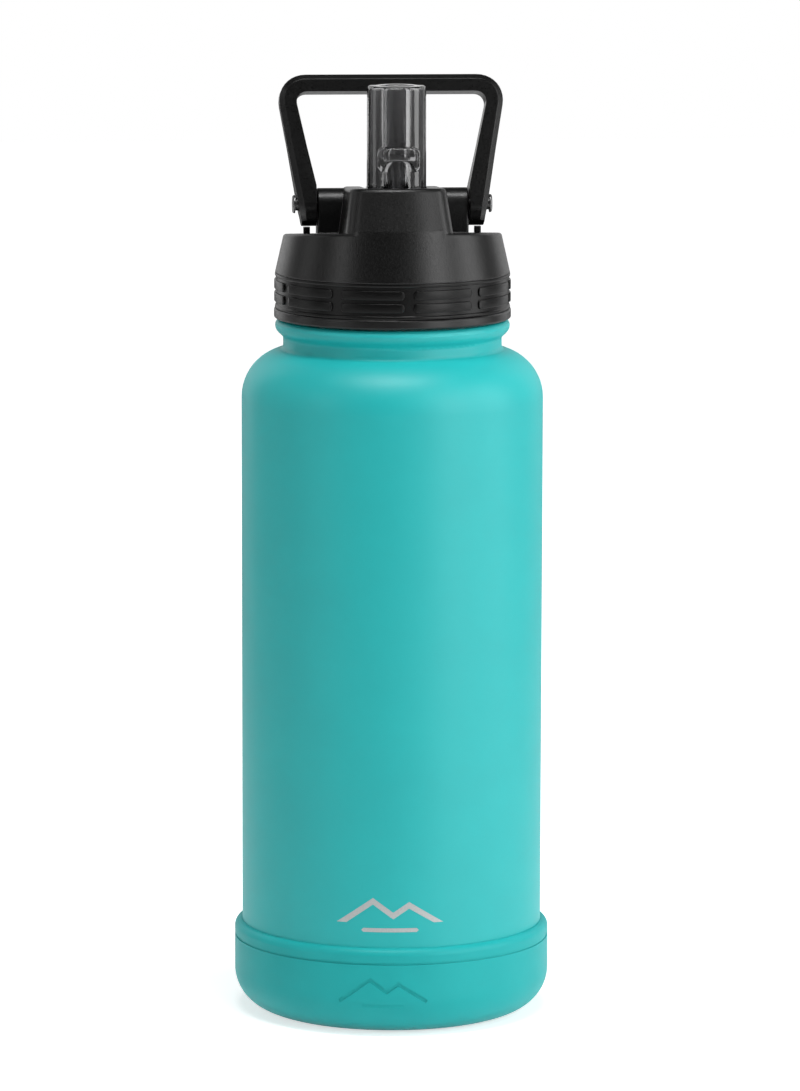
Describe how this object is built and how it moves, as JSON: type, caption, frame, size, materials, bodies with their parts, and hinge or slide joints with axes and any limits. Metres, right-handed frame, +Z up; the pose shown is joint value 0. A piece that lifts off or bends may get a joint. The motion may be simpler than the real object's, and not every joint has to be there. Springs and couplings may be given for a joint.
{
  "type": "insulated water bottle",
  "caption": "Insulated steel water bottle with a threaded straw lid, a fold-down drinking spout, a swinging carry handle and a silicone boot over its base.",
  "frame": {"origin": "on the bottle's axis, at the surface that the boot stands on", "axes": "+Z up along the bottle's axis, +X along the pivots of the handle and the spout, -Y towards the lid's front"},
  "size_m": [0.0944, 0.0944, 0.2809],
  "materials": {
    "powder_coat": "fine satin powder coat",
    "bare_steel": "brushed stainless steel",
    "boot_silicone": "satin silicone",
    "black_plastic": "fine-grained moulded plastic",
    "black_rubber": "satin rubber",
    "smoke_plastic": "polished clear smoke plastic",
    "seal_silicone": "soft silicone",
    "clear_plastic": "clear extruded plastic",
    "foam": "expanded foam",
    "pin_steel": "turned stainless steel",
    "getter_metal": "sintered metal"
  },
  "bodies": {
    "bottle": {"outer_shell": "powder_coat", "base_cup": "powder_coat", "inner_vessel": "bare_steel", "vacuum_plug": "bare_steel", "getter": "getter_metal", "silicone_boot": "boot_silicone"},
    "gasket": {"cap_gasket": "seal_silicone"},
    "lid": {"cap_shell": "black_plastic", "grip_ring": "black_rubber", "cap_plug": "black_plastic", "plug_cover": "black_plastic", "straw_grommet": "seal_silicone", "straw_socket": "black_plastic", "straw": "clear_plastic", "vent_valve": "seal_silicone", "lid_insulation": "foam", "spout_seal": "seal_silicone", "handle_pin_left": "pin_steel", "handle_pin_right": "pin_steel"},
    "spout": {"spout": "smoke_plastic"},
    "handle": {"carry_handle": "black_plastic"}
  },
  "joints": [
    {"name": "lid_rise", "type": "slide", "parent": "bottle", "child": "gasket", "axis": [0, 0, 1], "range_m": [0, 0.0088]},
    {"name": "lid_turn", "type": "hinge", "parent": "gasket", "child": "lid", "pos_m": [0, 0, 0.2088], "axis": [0, 0, 1], "range_deg": [0, 630]},
    {"name": "spout_fold", "type": "hinge", "parent": "lid", "child": "spout", "pos_m": [0, -0.014, 0.24091], "axis": [-1, 0, 0], "range_deg": [0, 90]},
    {"name": "handle_swing", "type": "hinge", "parent": "lid", "child": "handle", "pos_m": [0, 0.002, 0.24281], "axis": [-1, 0, 0], "range_deg": [-12, 88]}
  ],
  "couplings": [
    {"joint": "lid_rise", "follows": "lid_turn", "m_per_rad": 0.00079577}
  ]
}
